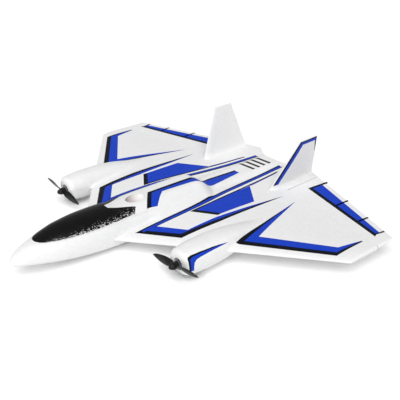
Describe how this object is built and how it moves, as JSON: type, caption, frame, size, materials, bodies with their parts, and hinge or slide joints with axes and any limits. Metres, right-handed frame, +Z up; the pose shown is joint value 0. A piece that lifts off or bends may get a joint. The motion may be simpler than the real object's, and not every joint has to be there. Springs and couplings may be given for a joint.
{
  "type": "rc flying wing",
  "caption": "Foam twin-motor flying wing with swept planform, hinged elevons, canted fins, lift-off canopy hatch and blue and black trim.",
  "frame": {"origin": "middle of the bounding box, on the plane the belly skid rests on", "axes": "+X towards the left wing tip, +Y towards the tail, +Z up; the nose points to -Y"},
  "size_m": [0.6, 0.5315, 0.1113],
  "materials": {
    "foam": "white moulded bead foam, satin skin",
    "canopy": "black painted foam in front, white foam behind",
    "hinge_foam": "smooth pressed foam",
    "clear_plastic": "thin vacuum-formed clear plastic",
    "black_plastic": "black moulded plastic",
    "prop_plastic": "black glass-filled nylon",
    "skid_plastic": "hard-wearing white plastic sheet",
    "carbon": "pultruded carbon tube",
    "magnet": "nickel plated",
    "steel": "bright steel",
    "stator_iron": "coated laminations",
    "copper": "enamelled copper wire",
    "bell_blue": "dark blue anodised",
    "wire_sleeve": "silicone sleeve",
    "servo_wire": "brown servo lead",
    "servo_case": "black servo case",
    "white_nylon": "white nylon",
    "battery_wrap": "blue shrink wrap",
    "strap": "woven hook-and-loop band",
    "plywood": "thin plywood",
    "plug_yellow": "yellow plug",
    "board": "board in a clear sleeve"
  },
  "bodies": {
    "airframe": {"fuselage": "foam", "left_wing": "foam", "right_wing": "foam", "fuselage_magnets": "magnet", "belly_skid": "skid_plastic", "carbon_spar": "carbon", "left_hinge_strip": "hinge_foam", "right_hinge_strip": "hinge_foam", "left_fin": "foam", "right_fin": "foam", "left_motor_pod": "foam", "right_motor_pod": "foam", "left_chin_cowl": "clear_plastic", "right_chin_cowl": "clear_plastic", "left_firewall": "black_plastic", "right_firewall": "black_plastic", "firewall_screws": "steel", "left_stator": "stator_iron", "right_stator": "stator_iron", "left_windings": "copper", "right_windings": "copper", "motor_bearings": "steel", "left_motor_wires": "wire_sleeve", "right_motor_wires": "wire_sleeve", "left_servo": "servo_case", "right_servo": "servo_case", "left_servo_lead": "servo_wire", "right_servo_lead": "servo_wire", "battery": "battery_wrap", "battery_strap": "strap", "battery_tray": "plywood", "battery_plug": "plug_yellow", "control_board": "board"},
    "canopy": {"canopy_hatch": "canopy", "hatch_pegs": "black_plastic", "hatch_magnets": "magnet"},
    "left_elevon": {"left_elevon": "foam", "left_control_horn": "white_nylon"},
    "left_servo_arm": {"left_servo_arm": "white_nylon"},
    "left_pushrod": {"left_pushrod": "steel"},
    "left_prop": {"left_motor_bell": "bell_blue", "left_shaft": "steel", "left_propeller": "prop_plastic", "left_prop_nut": "black_plastic"},
    "right_elevon": {"right_elevon": "foam", "right_control_horn": "white_nylon"},
    "right_servo_arm": {"right_servo_arm": "white_nylon"},
    "right_pushrod": {"right_pushrod": "steel"},
    "right_prop": {"right_motor_bell": "bell_blue", "right_shaft": "steel", "right_propeller": "prop_plastic", "right_prop_nut": "black_plastic"}
  },
  "joints": [
    {"name": "canopy_lift", "type": "slide", "parent": "airframe", "child": "canopy", "axis": [0, 0, 1], "range_m": [0, 0.06]},
    {"name": "left_elevon_hinge", "type": "hinge", "parent": "airframe", "child": "left_elevon", "pos_m": [0.098, 0.17595, 0.0296], "axis": [0.9854, -0.1705, 0], "range_deg": [-20, 20]},
    {"name": "left_servo_turn", "type": "hinge", "parent": "airframe", "child": "left_servo_arm", "pos_m": [0.11775, 0.12585, 0.0223], "axis": [0.9854, -0.1705, 0], "range_deg": [-20, 20]},
    {"name": "left_pushrod_swing", "type": "hinge", "parent": "left_servo_arm", "child": "left_pushrod", "pos_m": [0.11775, 0.12585, 0.0063], "axis": [0.9854, -0.1705, 0], "range_deg": [-20, 20]},
    {"name": "left_prop_spin", "type": "hinge", "parent": "airframe", "child": "left_prop", "pos_m": [0.146, -0.098, 0.024], "axis": [0, -1, 0], "continuous": true},
    {"name": "right_elevon_hinge", "type": "hinge", "parent": "airframe", "child": "right_elevon", "pos_m": [-0.098, 0.17595, 0.0296], "axis": [0.9854, 0.1705, 0], "range_deg": [-20, 20]},
    {"name": "right_servo_turn", "type": "hinge", "parent": "airframe", "child": "right_servo_arm", "pos_m": [-0.11775, 0.12585, 0.0223], "axis": [0.9854, 0.1705, 0], "range_deg": [-20, 20]},
    {"name": "right_pushrod_swing", "type": "hinge", "parent": "right_servo_arm", "child": "right_pushrod", "pos_m": [-0.11775, 0.12585, 0.0063], "axis": [0.9854, 0.1705, 0], "range_deg": [-20, 20]},
    {"name": "right_prop_spin", "type": "hinge", "parent": "airframe", "child": "right_prop", "pos_m": [-0.146, -0.098, 0.024], "axis": [0, -1, 0], "continuous": true}
  ],
  "couplings": [
    {"joint": "left_servo_turn", "follows": "left_elevon_hinge", "ratio": 1},
    {"joint": "left_pushrod_swing", "follows": "left_elevon_hinge", "ratio": -1},
    {"joint": "right_servo_turn", "follows": "right_elevon_hinge", "ratio": 1},
    {"joint": "right_pushrod_swing", "follows": "right_elevon_hinge", "ratio": -1}
  ]
}
